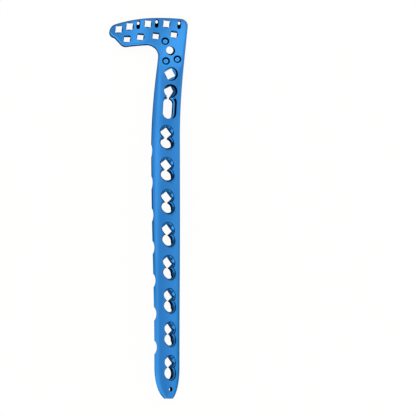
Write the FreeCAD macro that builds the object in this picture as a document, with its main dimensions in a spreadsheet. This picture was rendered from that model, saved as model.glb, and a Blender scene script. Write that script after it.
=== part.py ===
import FreeCAD, Part
import Sketcher
import math
import os

# An anatomical bone plate in one piece: a long, bowed and twisted shaft with combination
# holes, and a wide, thin head whose arm bends down round the bone. Millimetres, +Z up.
# It is modelled with the tip at the origin and the head towards +Y, with the top centre
# line starting level, and the finished plate is then turned as it lies on a table.

NODE = "plate"

doc = FreeCAD.newDocument("BonePlate")
sheet = doc.addObject("Spreadsheet::Sheet", "Sizes")

SIZES = {
    # Path of the shaft, measured along its top centre line from the tip
    "bow_radius": 330.0,
    "bow_end": 100.0,
    "tip_blunt": 0.6,
    "tip_length": 12.6,
    "neck_at": 133.3,
    "neck_start": 101.0,
    "twist_start": 18.0,
    "twist_end": 110.0,
    # Twist and sideways place of the section at the tip, the upper shaft and the neck
    "lower_twist": 39.0,
    "upper_twist": 12.5,
    "neck_twist": 6.0,
    "lower_shift": 0.4,
    "upper_shift": -1.2,
    "neck_shift": 0.35,
    # Section of the shaft: flat top, broad shoulders, straight side walls
    "shaft_width": 11.1,
    "shaft_depth": 3.5,
    "shoulder_width": 2.5,
    "shoulder_drop": 1.5,
    "tip_depth": 1.9,
    # Head: outline seen square on, thickness and bend of the arm
    "neck_width": 10.2,
    "head_depth": 2.2,
    "edge_bevel": 0.6,
    "corner_radius": 2.8,
    "corner_y": 16.2,
    "top_edge_radius": 95.0,
    "tab_x": -21.95,
    "tab_y": 12.05,
    "tab_radius": 2.75,
    "notch_radius": 0.7,
    "tab_slope": 47.0,
    "lobe_x": -18.0,
    "lobe_y": 8.3,
    "lobe_radius": 2.6,
    "arm_slope": 9.5,
    "inner_radius": 4.3,
    "bend_x": -8.0,
    "bend_radius": 34.0,
    # Bone-side undercuts between the combination holes
    "undercut_radius": 3.1,
    "undercut_depth": 1.5,
    "undercut_shift": 1.5,
    # Combination holes: a four-lobed locking part above a slotted compression part
    "first_hole_at": 12.4,
    "hole_pitch": 13.0,
    "lock_offset": 2.1,
    "lock_square": 3.6,
    "lock_turn": 5.0,
    "lock_rim_radius": 2.9,
    "lock_seat_radius": 2.6,
    "lock_seat_depth": 0.7,
    "oval_offset": 1.95,
    "oval_radius": 2.2,
    "oval_rim_radius": 2.9,
    "oval_seat_depth": 1.2,
    # The long positioning hole and the single locking hole under the neck
    "long_hole_at": 117.9,
    "long_lock_offset": 4.6,
    "long_lock_turn": 8.0,
    "long_slot_offset": 2.1,
    "long_slot_travel": 4.3,
    "long_slot_radius": 1.95,
    "long_rim_radius": 2.75,
    "long_seat_depth": 1.1,
    "long_passage_width": 1.0,
    "long_passage_length": 1.4,
    "single_hole_at": 129.3,
    "single_hole_x": 0.35,
    "single_hole_lean": 18.0,
    "single_lock_turn": 12.0,
    "upper_side_lean": 5.0,
    # Wire hole near the tip
    "tip_wire_at": 4.25,
    "wire_radius": 0.8,
    # Head holes: four-lobed locking holes in two rows
    "head_square": 2.6,
    "head_rim_radius": 1.9,
    "head_seat_radius": 1.45,
    "head_seat_depth": 0.6,
    "row_one_lean": 18.0,
    "row_two_lean": 10.0,
    "hole_a_x": -21.3,
    "hole_a_y": 12.35,
    "hole_b_x": -17.3,
    "hole_b_y": 13.55,
    "hole_c_x": -10.4,
    "hole_c_y": 15.15,
    "hole_d_x": -3.25,
    "hole_d_y": 16.0,
    "hole_e_x": -17.8,
    "hole_e_y": 8.4,
    "hole_f_x": -12.8,
    "hole_f_y": 9.55,
    "hole_g_x": -6.9,
    "hole_g_y": 10.6,
    "hole_h_x": 0.05,
    "hole_h_y": 12.1,
    # Oblique wire slots of the upper row, which narrow towards the bone side
    "wire_slot_width": 1.32,
    "wire_slot_length": 3.1,
    "wire_slot_low_width": 1.0,
    "wire_slot_low_length": 1.1,
    "wire_slot_lean": 32.0,
    "slot_a_x": -14.1,
    "slot_a_y": 14.4,
    "slot_b_x": -7.05,
    "slot_b_y": 15.7,
    "slot_c_x": 1.7,
    "slot_c_y": 16.3,
    # Guide hole and the three blind seats round it
    "guide_radius": 1.45,
    "guide_rim_radius": 1.7,
    "guide_rim_depth": 0.35,
    "guide_x": -0.75,
    "guide_y": 5.4,
    "seat_radius": 1.45,
    "seat_depth": 0.9,
    "guide_lean": 17.0,
    "seat_a_x": -3.05,
    "seat_a_y": 9.0,
    "seat_b_x": -2.0,
    "seat_b_y": 1.0,
    "seat_c_x": 2.35,
    "seat_c_y": 2.3,
    # How the finished plate lies on a flat surface
    "rest_turn_x": 11.0919,
    "rest_turn_y": 2.5092,
    "rest_x": 8.5672,
    "rest_y": -75.890,
    "rest_lift": 4.4399,
}

# Where the drawn arcs of the head start and end, before the dimensions shape them
TAB_START, TAB_END = 106.3, 263.4
BEND_SWEEP = 45.0

COMBI_HOLES = 8
NECK_STEPS = 3
TIP_SHARES = (0.0, 0.09, 0.22, 0.5, 1.0)
OVERRUN = 4.0
SLOT_OVERRUN = 0.3


def ref(name):
    return f"{sheet.Name}.{name}"


def fill_sheet():
    for row, (name, value) in enumerate(SIZES.items(), start=1):
        sheet.set(f"A{row}", name)
        sheet.set(f"B{row}", str(value))
        sheet.setAlias(f"B{row}", name)
    doc.recompute()


STATION_VALUES = {
    "slope": "min(at; {s}.bow_end) / {s}.bow_radius * 180 / pi",
    "neck_share": "min(max(at - {s}.neck_start; 0) / ({s}.neck_at - {s}.neck_start); 1)",
    "low_share": "(1 + cos(180 * min(max(at - {s}.twist_start; 0)"
    " / ({s}.twist_end - {s}.twist_start); 1))) / 2",
    "end_share": "sqrt(1 - (1 - min(at; {s}.tip_length) / {s}.tip_length) ^ 2)",
    "twist": "{s}.upper_twist + ({s}.lower_twist - {s}.upper_twist) * low_share"
    " + ({s}.neck_twist - {s}.upper_twist) * neck_share ^ 2",
    "shift": "{s}.upper_shift + ({s}.lower_shift - {s}.upper_shift) * low_share"
    " + ({s}.neck_shift - {s}.upper_shift) * neck_share ^ 2",
    "lean_rise": "2 * ({s}.neck_shift - {s}.upper_shift) * neck_share"
    " / ({s}.neck_at - {s}.neck_start)",
    "along": "{s}.bow_radius * sin(slope) + max(at - {s}.bow_end; 0) * cos(slope)",
    "height": "{s}.bow_radius * (cos(slope) - 1) - max(at - {s}.bow_end; 0) * sin(slope)",
    "half_width": "({s}.shaft_width + ({s}.neck_width - {s}.shaft_width) * neck_share)"
    " / 2 * end_share",
    "full_depth": "{s}.shaft_depth + ({s}.head_depth - {s}.shaft_depth) * neck_share ^ 2",
    "depth": "{s}.tip_depth + (full_depth - {s}.tip_depth) * end_share",
    "shoulder": "({s}.shoulder_width + ({s}.edge_bevel - {s}.shoulder_width) * neck_share ^ 2)"
    " * end_share",
    "drop": "({s}.shoulder_drop + ({s}.edge_bevel - {s}.shoulder_drop) * neck_share ^ 2)"
    " * depth / full_depth",
}


def station(name, at):
    """A named place along the path, which works out the section and its frame there."""
    place = doc.addObject("App::VarSet", name)
    place.addProperty("App::PropertyFloat", "at")
    place.setExpression("at", at)
    for value, expression in STATION_VALUES.items():
        place.addProperty("App::PropertyFloat", value)
        place.setExpression(value, expression.format(s=sheet.Name))
    return place


def turn(axis, angle):
    return f"placement(vector(0; 0; 0); rotation(vector({axis}); {angle}))"


def move(x, y, z):
    return f"placement(vector({x}; {y}; {z}); rotation(vector(1; 0; 0); 0))"


def frame_at(place):
    """Expression of the station's frame: +Y along the path, +Z out of the top face."""
    n = place.Name
    return " * ".join(
        (
            move(f"{n}.shift", f"{n}.along", f"{n}.height"),
            turn("1; 0; 0", f"-{n}.slope"),
            turn("0; 1; 0", f"{n}.twist"),
            turn("0; 0; 1", f"-atan({n}.lean_rise)"),
        )
    )


def point(x, y):
    return FreeCAD.Vector(x, y, 0)


def dimension(sketch, kind, *where, size):
    """A sketch dimension that starts near the drawn size and then follows an expression."""
    drawn = 1.0
    if kind == "Radius":
        drawn = sketch.Geometry[where[0]].Radius
    elif kind != "Angle":
        gap = sketch.getPoint(where[2], where[3]) - sketch.getPoint(where[0], where[1])
        drawn = gap.x if kind == "DistanceX" else gap.y
    index = sketch.addConstraint(Sketcher.Constraint(kind, *where, drawn))
    sketch.setExpression(f"Constraints[{index}]", size)


def join(sketch, kind, *pairs):
    for pair in pairs:
        sketch.addConstraint(Sketcher.Constraint(kind, *pair))


def arc(x, y, radius, start, end):
    """An arc about (x, y), anticlockwise between two angles in degrees."""
    circle = Part.Circle(point(x, y), FreeCAD.Vector(0, 0, 1), radius)
    return Part.ArcOfCircle(circle, math.radians(start), math.radians(end))


def line(x1, y1, x2, y2):
    return Part.LineSegment(point(x1, y1), point(x2, y2))


def section(name, at, bevelled=False):
    """Cross-section of the shaft at one station, in the plane square to the path.

    The shoulders are arcs, or straight bevels where the section meets the head.
    """
    place = station(f"{name}Place", at)
    doc.recompute()
    wide, deep, round_in, drop = place.half_width, place.depth, place.shoulder, place.drop
    flat = wide - round_in
    radius = (round_in**2 + drop**2) / (2 * drop)
    sweep = math.degrees(math.asin(min(round_in / radius, 1)))
    right = arc(flat, -radius, radius, 90 - sweep, 90)
    left = arc(-flat, -radius, radius, 90, 90 + sweep)
    if bevelled:
        right, left = line(wide, -drop, flat, 0), line(-flat, 0, -wide, -drop)
    sketch = doc.addObject("Sketcher::SketchObject", name)
    sketch.addGeometry(
        [
            line(-flat, 0, flat, 0),
            right,
            line(wide, -drop, wide, -deep),
            line(wide, -deep, -wide, -deep),
            line(-wide, -deep, -wide, -drop),
            left,
        ]
    )
    join(sketch, "Coincident" if bevelled else "Tangent", (0, 2, 1, 2), (0, 1, 5, 1))
    join(sketch, "Coincident", (1, 1, 2, 1), (2, 2, 3, 1), (3, 2, 4, 1), (4, 2, 5, 2))
    join(sketch, "Vertical", (2,), (4,))
    join(sketch, "Horizontal", (0,), (3,))
    join(sketch, "PointOnObject", (0, 1, -1))
    n = place.Name
    for where in ((-1, 1, 0, 2), (0, 1, -1, 1)):
        dimension(sketch, "DistanceX", *where, size=f"{n}.half_width - {n}.shoulder")
    for where in ((-1, 1, 2, 1), (4, 1, -1, 1)):
        dimension(sketch, "DistanceX", *where, size=f"{n}.half_width")
    for where in ((2, 1, -1, 1), (5, 2, -1, 1)):
        dimension(sketch, "DistanceY", *where, size=f"{n}.drop")
    dimension(sketch, "DistanceY", 3, 1, -1, 1, size=f"{n}.depth")
    sketch.setExpression("Placement", f"{frame_at(place)} * {turn('1; 0; 0', 90)}")
    return sketch


def between_holes(number):
    """The middle of the web on the head's side of a combination hole."""
    return f"{ref('first_hole_at')} + {number + 0.5} * {ref('hole_pitch')}"


def even_steps(start, end, steps):
    """Even steps from one place on the path to another, without the first."""
    return [f"{start} + ({end} - ({start})) * {n} / {steps}" for n in range(1, steps + 1)]


def build_shaft():
    blunt, taper = ref("tip_blunt"), ref("tip_length")
    stops = [f"{blunt} + ({taper} - {blunt}) * {share}" for share in TIP_SHARES]
    stops += [between_holes(n) for n in range(COMBI_HOLES)]
    stops += even_steps(between_holes(COMBI_HOLES - 1), ref("neck_at"), NECK_STEPS)
    sections = [
        section(f"Section{n:02d}", at, bevelled=at == stops[-1]) for n, at in enumerate(stops, start=1)
    ]
    shaft = doc.addObject("Part::Loft", "Shaft")
    shaft.Sections = sections
    shaft.Solid, shaft.Ruled = True, True
    return shaft


def head_outline():
    """Outline of the head from the neck up, seen square on."""
    s = SIZES
    half = s["neck_width"] / 2
    tab, lobe = (s["tab_x"], s["tab_y"]), (s["lobe_x"], s["lobe_y"])
    sketch = doc.addObject("Sketcher::SketchObject", "HeadOutline")
    inner_y = 3.2
    sketch.addGeometry(
        [
            line(-half, 0, half, 0),
            line(half, 0, half, s["corner_y"]),
            arc(half - s["corner_radius"], s["corner_y"], s["corner_radius"], 0, 90.9),
            arc(4.3, -76.2, s["top_edge_radius"], 90.9, TAB_START),
            arc(*tab, s["tab_radius"], TAB_START, TAB_END),
            arc(-22.2, 8.9, s["notch_radius"], 90 - s["tab_slope"], TAB_END - 180),
            line(-19.5, 7.1, -21.7, 9.4),
            arc(*lobe, s["lobe_radius"], 270 - s["tab_slope"], 270 + s["arm_slope"]),
            line(-17.2, 6.3, -10.2, 7.45),
            arc(-half - s["inner_radius"], inner_y, s["inner_radius"], 0, 90 + s["arm_slope"]),
            line(-half, inner_y, -half, 0),
        ]
    )
    join(sketch, "Coincident", (0, 2, 1, 1), (10, 2, 0, 1))
    join(sketch, "Tangent", (1, 2, 2, 1), (2, 2, 3, 1), (3, 2, 4, 1), (4, 2, 5, 2), (5, 1, 6, 2))
    join(sketch, "Tangent", (6, 1, 7, 1), (7, 2, 8, 1), (8, 2, 9, 2), (9, 1, 10, 1))
    join(sketch, "PointOnObject", (0, 1, -1), (0, 2, -1))
    join(sketch, "Vertical", (1,), (10,))
    dimension(sketch, "DistanceX", -1, 1, 0, 2, size=f"{ref('neck_width')} / 2")
    dimension(sketch, "DistanceX", 0, 1, -1, 1, size=f"{ref('neck_width')} / 2")
    dimension(sketch, "DistanceY", -1, 1, 2, 3, size=ref("corner_y"))
    for geometry, radius in (
        (2, "corner_radius"),
        (3, "top_edge_radius"),
        (4, "tab_radius"),
        (5, "notch_radius"),
        (7, "lobe_radius"),
        (9, "inner_radius"),
    ):
        dimension(sketch, "Radius", geometry, size=ref(radius))
    for geometry, name in ((4, "tab"), (7, "lobe")):
        dimension(sketch, "DistanceX", geometry, 3, -1, 1, size=f"-{ref(name + '_x')}")
        dimension(sketch, "DistanceY", -1, 1, geometry, 3, size=ref(name + "_y"))
    dimension(sketch, "Angle", 6, size=f"180 deg - {ref('tab_slope')} * 1 deg")
    dimension(sketch, "Angle", 8, size=f"{ref('arm_slope')} * 1 deg")
    return sketch


def head_slab():
    """Side view of the head's thickness: flat over the neck, bent down along the arm."""
    right = SIZES["neck_width"] / 2 + OVERRUN
    bend, radius, deep = SIZES["bend_x"], SIZES["bend_radius"], SIZES["head_depth"]
    low = radius - deep
    share = math.sin(math.radians(BEND_SWEEP))
    sketch = doc.addObject("Sketcher::SketchObject", "HeadSlab")
    sketch.addGeometry(
        [
            line(right, 0, bend, 0),
            arc(bend, -radius, radius, 90, 90 + BEND_SWEEP),
            line(bend - radius * share, radius * share - radius, bend - low * share, low * share - radius),
            arc(bend, -radius, low, 90, 90 + BEND_SWEEP),
            line(bend, -deep, right, -deep),
            line(right, -deep, right, 0),
        ]
    )
    join(sketch, "Tangent", (0, 2, 1, 1), (3, 1, 4, 1))
    join(sketch, "Coincident", (1, 2, 2, 1), (2, 2, 3, 2), (4, 2, 5, 1), (5, 2, 0, 1), (1, 3, 3, 3))
    join(sketch, "PointOnObject", (0, 1, -1), (0, 2, -1))
    join(sketch, "Vertical", (5,))
    join(sketch, "Horizontal", (4,))
    dimension(sketch, "DistanceX", -1, 1, 0, 1, size=f"{ref('neck_width')} / 2 + {OVERRUN}")
    dimension(sketch, "DistanceX", 0, 2, -1, 1, size=f"-{ref('bend_x')}")
    dimension(sketch, "DistanceY", 5, 1, -1, 1, size=ref("head_depth"))
    dimension(sketch, "Radius", 1, size=ref("bend_radius"))
    dimension(sketch, "Angle", 2, size=f"-{BEND_SWEEP} deg")
    return sketch


def top_edges(solid, frame):
    """Numbers of the edges round the rim of the head's top face."""
    bend, radius = SIZES["bend_x"], SIZES["bend_radius"]
    found = []
    for number, edge in enumerate(solid.Shape.Edges, start=1):
        spots = [frame.inverse().multVec(p) for p in edge.discretize(5)]
        drops = [radius - math.sqrt(radius**2 - min(p.x - bend, 0) ** 2) for p in spots]
        on_top = all(abs(p.z + drop) < 1e-3 for p, drop in zip(spots, drops))
        at_neck = all(abs(p.y) < 1e-3 for p in spots)
        at_bend = all(abs(p.x - bend) < 1e-3 for p in spots)
        if on_top and not at_neck and not at_bend:
            found.append(number)
    return found


def build_head():
    neck = station("NeckPlace", ref("neck_at"))
    frame = frame_at(neck)
    outline, slab = head_outline(), head_slab()
    outline.setExpression("Placement", frame)
    slab.setExpression("Placement", f"{frame} * {turn('1; 0; 0', 90)}")
    blank = doc.addObject("Part::Extrusion", "HeadBlank")
    blank.Base, blank.DirMode, blank.Solid = outline, "Normal", True
    blank.LengthFwd = OVERRUN
    blank.setExpression("LengthRev", f"{ref('bend_radius')} / 2")
    bent = doc.addObject("Part::Extrusion", "HeadBend")
    bent.Base, bent.DirMode, bent.Solid = slab, "Normal", True
    bent.setExpression("LengthRev", f"{ref('corner_y')} + {ref('corner_radius')} + {OVERRUN}")
    bent.LengthFwd = 0
    raw = doc.addObject("Part::Common", "HeadRaw")
    raw.Base, raw.Tool = blank, bent
    doc.recompute()
    head = doc.addObject("Part::Chamfer", "Head")
    head.Base = raw
    bevel = SIZES["edge_bevel"]
    head.Edges = [(n, bevel, bevel) for n in top_edges(raw, outline.Placement)]
    return head, frame


def primitive(kind, name, **expressions):
    """A basic solid, each property of which follows an expression."""
    solid = doc.addObject(kind, name)
    for prop, expression in expressions.items():
        solid.setExpression(prop, expression)
    return solid


def fuse(name, *pieces):
    joined = doc.addObject("Part::MultiFuse", name)
    joined.Shapes = list(pieces)
    return joined


def square_hole(name, side, angle):
    """A through hole of square section about the local Z axis, turned by an angle."""
    corner = f"-{ref(side)} / 2"
    level = f"-{ref('shaft_depth')} - {OVERRUN / 2}"
    return primitive(
        "Part::Box",
        name,
        Length=ref(side),
        Width=ref(side),
        Height=f"{ref('shaft_depth')} + {OVERRUN}",
        Placement=f"{turn('0; 0; 1', angle)} * {move(corner, corner, level)}",
    )


def rim_cone(name, rim, seat, seat_depth):
    """A countersink that keeps its slope for 1 mm above the face."""
    slope = f"({ref(rim)} - {ref(seat)}) / {ref(seat_depth)}"
    return primitive(
        "Part::Cone",
        name,
        Radius1=ref(seat),
        Radius2=f"{ref(rim)} + {slope}",
        Height=f"{ref(seat_depth)} + 1",
        Placement=move(0, 0, f"-{ref(seat_depth)}"),
    )


def obround(name, radius, travel, level, ahead="0"):
    """A closed slot outline, long along Y, at a level and moved ahead along Y."""
    r, t = 2.0, 2.0
    sketch = doc.addObject("Sketcher::SketchObject", name)
    sketch.addGeometry(
        [line(r, -t, r, t), arc(0, t, r, 0, 180), line(-r, t, -r, -t), arc(0, -t, r, 180, 360)]
    )
    join(sketch, "Tangent", (0, 2, 1, 1), (1, 2, 2, 1), (2, 2, 3, 1), (3, 2, 0, 1))
    join(sketch, "Vertical", (0,))
    join(sketch, "PointOnObject", (1, 3, -2))
    dimension(sketch, "Radius", 1, size=radius)
    dimension(sketch, "DistanceY", -1, 1, 1, 3, size=f"{travel} / 2")
    dimension(sketch, "DistanceY", 3, 3, -1, 1, size=f"{travel} / 2")
    sketch.setExpression("Placement", move(0, ahead, level))
    return sketch


def slot(name, radius, rim, travel, seat_depth):
    """A through slot with a sloping seat round its upper rim."""
    slope = f"({ref(rim)} - {ref(radius)}) / {ref(seat_depth)}"
    low = obround(f"{name}Low", ref(radius), ref(travel), f"-{ref(seat_depth)}")
    high = obround(f"{name}High", f"{ref(rim)} + {slope}", ref(travel), "1")
    seat = doc.addObject("Part::Loft", f"{name}Seat")
    seat.Sections, seat.Solid, seat.Ruled = [low, high], True, True
    through = doc.addObject("Part::Extrusion", f"{name}Through")
    through.Base, through.DirMode, through.Solid = low, "Normal", True
    through.setExpression("LengthRev", f"{ref('shaft_depth')} + {OVERRUN}")
    through.LengthFwd = 0.05
    return seat, through


def round_hole(name, radius, rim, seat_depth):
    """A through bore with a sloping seat round its upper rim."""
    level = f"-{ref('shaft_depth')} - {OVERRUN / 2}"
    bore = primitive(
        "Part::Cylinder",
        f"{name}Bore",
        Radius=ref(radius),
        Height=f"{ref('shaft_depth')} + {OVERRUN / 2}",
        Placement=move(0, 0, level),
    )
    return bore, rim_cone(f"{name}Rim", rim, radius, seat_depth)


def corner_on(angle):
    """Turn of a square hole that sets a corner at this angle from the path."""
    return f"45 - {ref(angle)}"


def joined_hole(name, lock_offset, lock_turn, lower_pieces, lower_offset):
    """The locking part on the head's side of a hole, joined to its lower part."""
    square = square_hole(f"{name}Lock", "lock_square", corner_on(lock_turn))
    rim = rim_cone(f"{name}LockRim", "lock_rim_radius", "lock_seat_radius", "lock_seat_depth")
    lock = fuse(f"{name}LockPart", square, rim)
    lock.setExpression("Placement", move(0, ref(lock_offset), 0))
    lower = fuse(f"{name}LowerPart", *lower_pieces)
    lower.setExpression("Placement", move(0, f"-{ref(lower_offset)}", 0))
    return fuse(name, lock, lower)


def placed(name, tool, placement):
    copy = doc.addObject("App::Link", name)
    copy.LinkedObject, copy.LinkTransform = tool, True
    copy.setExpression("Placement", placement)
    return copy


def at_station(name, tool, at, side="0", lean="0", side_lean="0"):
    """A tool set on the shaft's top face, whose lower end leans to the head and the left."""
    place = station(f"{name}Place", at)
    leaned = f"{turn('1; 0; 0', lean)} * {turn('0; 1; 0', side_lean)}"
    return placed(name, tool, f"{frame_at(place)} * {move(side, 0, 0)} * {leaned}")


def passage():
    """The short opening that joins the long slot to its locking part."""
    width, length = ref("long_passage_width"), ref("long_passage_length")
    end = f"{ref('long_slot_travel')} / 2 + {ref('long_slot_radius')}"
    return primitive(
        "Part::Box",
        "LongPassage",
        Length=width,
        Width=length,
        Height=f"{ref('shaft_depth')} + {OVERRUN}",
        Placement=move(f"-{width} / 2", f"{end} - {length} / 2", f"-{ref('shaft_depth')} - {OVERRUN / 2}"),
    )


def shaft_holes():
    oval = round_hole("Oval", "oval_radius", "oval_rim_radius", "oval_seat_depth")
    combi = joined_hole("Combi", "lock_offset", "lock_turn", oval, "oval_offset")
    holes = []
    for n in range(COMBI_HOLES):
        at = f"{ref('first_hole_at')} + {n} * {ref('hole_pitch')}"
        holes.append(at_station(f"CombiHole{n + 1}", combi, at))
    sizes = ("long_slot_radius", "long_rim_radius", "long_slot_travel", "long_seat_depth")
    long_slot = (*slot("LongSlot", *sizes), passage())
    long_hole = joined_hole("Long", "long_lock_offset", "long_lock_turn", long_slot, "long_slot_offset")
    side_lean = ref("upper_side_lean")
    holes.append(at_station("LongHole", long_hole, ref("long_hole_at"), side_lean=side_lean))
    single = square_hole("SingleLock", "lock_square", corner_on("single_lock_turn"))
    rim = rim_cone("SingleRim", "lock_rim_radius", "lock_seat_radius", "lock_seat_depth")
    at, side, lean = ref("single_hole_at"), ref("single_hole_x"), ref("single_hole_lean")
    holes.append(at_station("SingleHole", single, at, side, lean, side_lean))
    holes.append(at_station("SingleHoleRim", rim, at, side))
    wire = primitive(
        "Part::Cylinder",
        "TipWire",
        Radius=ref("wire_radius"),
        Height=f"{ref('shaft_depth')} + {OVERRUN}",
        Placement=move(0, 0, f"-{ref('shaft_depth')} - {OVERRUN / 2}"),
    )
    holes.append(at_station("TipWireHole", wire, ref("tip_wire_at")))
    return holes


def undercuts():
    """Rollers that hollow the bone side across, one between each pair of holes."""
    length = f"{ref('shaft_width')} + {OVERRUN}"
    roller = primitive(
        "Part::Cylinder",
        "Undercut",
        Radius=ref("undercut_radius"),
        Height=length,
        Placement=f"{move(f'-({length}) / 2', 0, 0)} * {turn('0; 1; 0', 90)}",
    )
    cuts = []
    for n in range(COMBI_HOLES - 1):
        at = f"{between_holes(n)} + {ref('undercut_shift')}"
        place = station(f"Undercut{n + 1}Place", at)
        depth = f"{ref('undercut_depth')} - {ref('undercut_radius')} - {place.Name}.depth"
        cuts.append(placed(f"Undercut{n + 1}", roller, f"{frame_at(place)} * {move(0, 0, depth)}"))
    return cuts


def on_head(name, tool, frame, where, lean):
    """A tool set on the head's top face, leaning towards the tip by an angle."""
    x, y = ref(f"{where}_x"), ref(f"{where}_y")
    radius = ref("bend_radius")
    drop = f"{radius} - sqrt({radius} ^ 2 - max({ref('bend_x')} - {x}; 0) ^ 2)"
    spot = f"{frame} * {move(x, y, f'-({drop})')} * {turn('1; 0; 0', lean)}"
    return placed(name, tool, spot)


def head_holes(frame):
    """Through holes of the head, and the countersinks and blind wells in its top face."""
    square = square_hole("HeadLock", "head_square", "0")
    rim = rim_cone("HeadLockRim", "head_rim_radius", "head_seat_radius", "head_seat_depth")
    through, sunk = [], []
    for letter in "abcdefgh":
        lean = ref("row_one_lean" if letter in "abcd" else "row_two_lean")
        through.append(on_head(f"HeadHole{letter.upper()}", square, frame, f"hole_{letter}", lean))
        sunk.append(on_head(f"HeadRim{letter.upper()}", rim, frame, f"hole_{letter}", "0"))
    wire_slot = wire_slot_tool()
    well = primitive(
        "Part::Cylinder",
        "Seat",
        Radius=ref("seat_radius"),
        Height=f"{ref('seat_depth')} + {OVERRUN / 2}",
        Placement=move(0, 0, f"-{ref('seat_depth')}"),
    )
    for letter in "abc":
        through.append(on_head(f"WireSlot{letter.upper()}", wire_slot, frame, f"slot_{letter}", "0"))
        sunk.append(on_head(f"Seat{letter.upper()}", well, frame, f"seat_{letter}", "0"))
    bore = primitive(
        "Part::Cylinder",
        "GuideBore",
        Radius=ref("guide_radius"),
        Height=f"{ref('head_depth')} + 2 * {OVERRUN}",
        Placement=move(0, 0, f"-{ref('head_depth')} - {OVERRUN}"),
    )
    guide_rim = rim_cone("GuideRim", "guide_rim_radius", "guide_radius", "guide_rim_depth")
    through.append(on_head("GuideHole", bore, frame, "guide", ref("guide_lean")))
    sunk.append(on_head("GuideHoleRim", guide_rim, frame, "guide", "0"))
    return through, sunk


def wire_slot_tool():
    """An oblique slot that runs towards the head's far edge and narrows on the way down."""
    width, length = ref("wire_slot_width"), ref("wire_slot_length")
    low_width, low_length = ref("wire_slot_low_width"), ref("wire_slot_low_length")
    slant = f"tan({ref('wire_slot_lean')})"
    deep = f"({ref('head_depth')} + {SLOT_OVERRUN})"
    back = f"-{SLOT_OVERRUN} * {slant}"
    high = obround("WireSlotHigh", f"{width} / 2", f"({length} - {width})", SLOT_OVERRUN, back)
    low_travel = f"({low_length} - {low_width})"
    low = obround("WireSlotLow", f"{low_width} / 2", low_travel, f"-{deep}", f"{deep} * {slant}")
    tool = doc.addObject("Part::Loft", "WireSlot")
    tool.Sections, tool.Solid, tool.Ruled = [high, low], True, True
    return tool


def group(name, pieces):
    tools = doc.addObject("Part::Compound", name)
    tools.Links = pieces
    return tools


def build_plate():
    head, frame = build_head()
    body = doc.addObject("Part::Fuse", "Body")
    body.Base, body.Tool = build_shaft(), head
    through, sunk = head_holes(frame)
    pierced = doc.addObject("Part::Cut", "Pierced")
    pierced.Base, pierced.Tool = body, group("ThroughTools", shaft_holes() + undercuts() + through)
    plate = doc.addObject("Part::Cut", "Plate")
    plate.Label = NODE
    plate.Base, plate.Tool = pierced, group("SunkTools", sunk)
    moved = move(ref("rest_x"), ref("rest_y"), ref("rest_lift"))
    turned = f"{turn('0; 1; 0', ref('rest_turn_y'))} * {turn('1; 0; 0', ref('rest_turn_x'))}"
    plate.setExpression("Placement", f"{moved} * {turned}")
    doc.recompute()
    return plate


def check(objects):
    for obj in objects:
        if "Invalid" in obj.State or "Error" in obj.State:
            raise RuntimeError(f"{obj.Name} failed: {obj.State}")
        shape = getattr(obj, "Shape", None)
        if shape is not None and (shape.isNull() or not shape.isValid()):
            raise RuntimeError(f"{obj.Name} has no valid shape")


fill_sheet()
plate = build_plate()
check(doc.Objects)
if len(plate.Shape.Solids) != 1:
    raise RuntimeError(f"{NODE} is {len(plate.Shape.Solids)} solids")
os.makedirs("parts", exist_ok=True)
plate.Shape.exportStep(f"parts/{NODE}.step")
print(NODE, "volume", round(plate.Shape.Volume, 1), "box", plate.Shape.BoundBox)
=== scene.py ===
import math

import bpy
import numpy as np
from mathutils import Matrix, Vector
from mathutils.geometry import delaunay_2d_cdt


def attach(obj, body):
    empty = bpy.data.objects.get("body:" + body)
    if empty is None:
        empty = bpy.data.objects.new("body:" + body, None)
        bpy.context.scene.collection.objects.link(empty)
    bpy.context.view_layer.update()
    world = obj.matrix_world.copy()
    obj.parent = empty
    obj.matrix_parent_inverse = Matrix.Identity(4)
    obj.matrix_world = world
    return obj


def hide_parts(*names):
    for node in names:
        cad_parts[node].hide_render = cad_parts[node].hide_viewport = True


# A long, bowed and twisted bone plate of anodised titanium, lying bone side down on a
# pale table. The whole plate is one mesh. Its points are worked out on the unrolled
# plate: x beside the centre line, s along it from the tip, z over the outer face, in mm.

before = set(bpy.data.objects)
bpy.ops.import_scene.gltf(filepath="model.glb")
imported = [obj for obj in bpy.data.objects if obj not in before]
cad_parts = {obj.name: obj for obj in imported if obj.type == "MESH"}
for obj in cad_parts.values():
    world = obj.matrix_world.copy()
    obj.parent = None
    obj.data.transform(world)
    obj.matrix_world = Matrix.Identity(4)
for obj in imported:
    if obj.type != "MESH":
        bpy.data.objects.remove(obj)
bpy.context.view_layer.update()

MM = 0.001

# Path and section of the shaft
BOW_RADIUS = 330.0
BOW_END = 100.0
TIP_LENGTH = 12.6
TIP_BLUNT = 0.6
NECK = 133.3
NECK_START = 101.0
TWIST_START = 18.0
TWIST_END = 110.0
LOWER_TWIST = 39.0
UPPER_TWIST = 12.5
NECK_TWIST = 6.0
LOWER_SHIFT = 0.4
UPPER_SHIFT = -1.2
NECK_SHIFT = 0.35
SHAFT_WIDTH = 11.1
NECK_WIDTH = 10.2
SHAFT_DEPTH = 3.5
HEAD_DEPTH = 2.2
TIP_DEPTH = 1.5
SHOULDER_WIDTH = 5.0
SHOULDER_DROP = 1.7
RIM_WIDTH = 0.75
RIM_DROP = 0.65
TIP_SHOULDER = 1.0
CROWN = 0.35
LOW_ROUNDING = 0.25
HEAD_ROUNDING = 0.12

# Combination holes, and the round undercuts between them on the bone side
FIRST_HOLE = 12.4
HOLE_PITCH = 13.0
COMBI_HOLES = 8
UNDERCUT_RADIUS = 3.1
UNDERCUT_DEPTH = 1.5
UNDERCUT_SHIFT = 1.5

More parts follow.
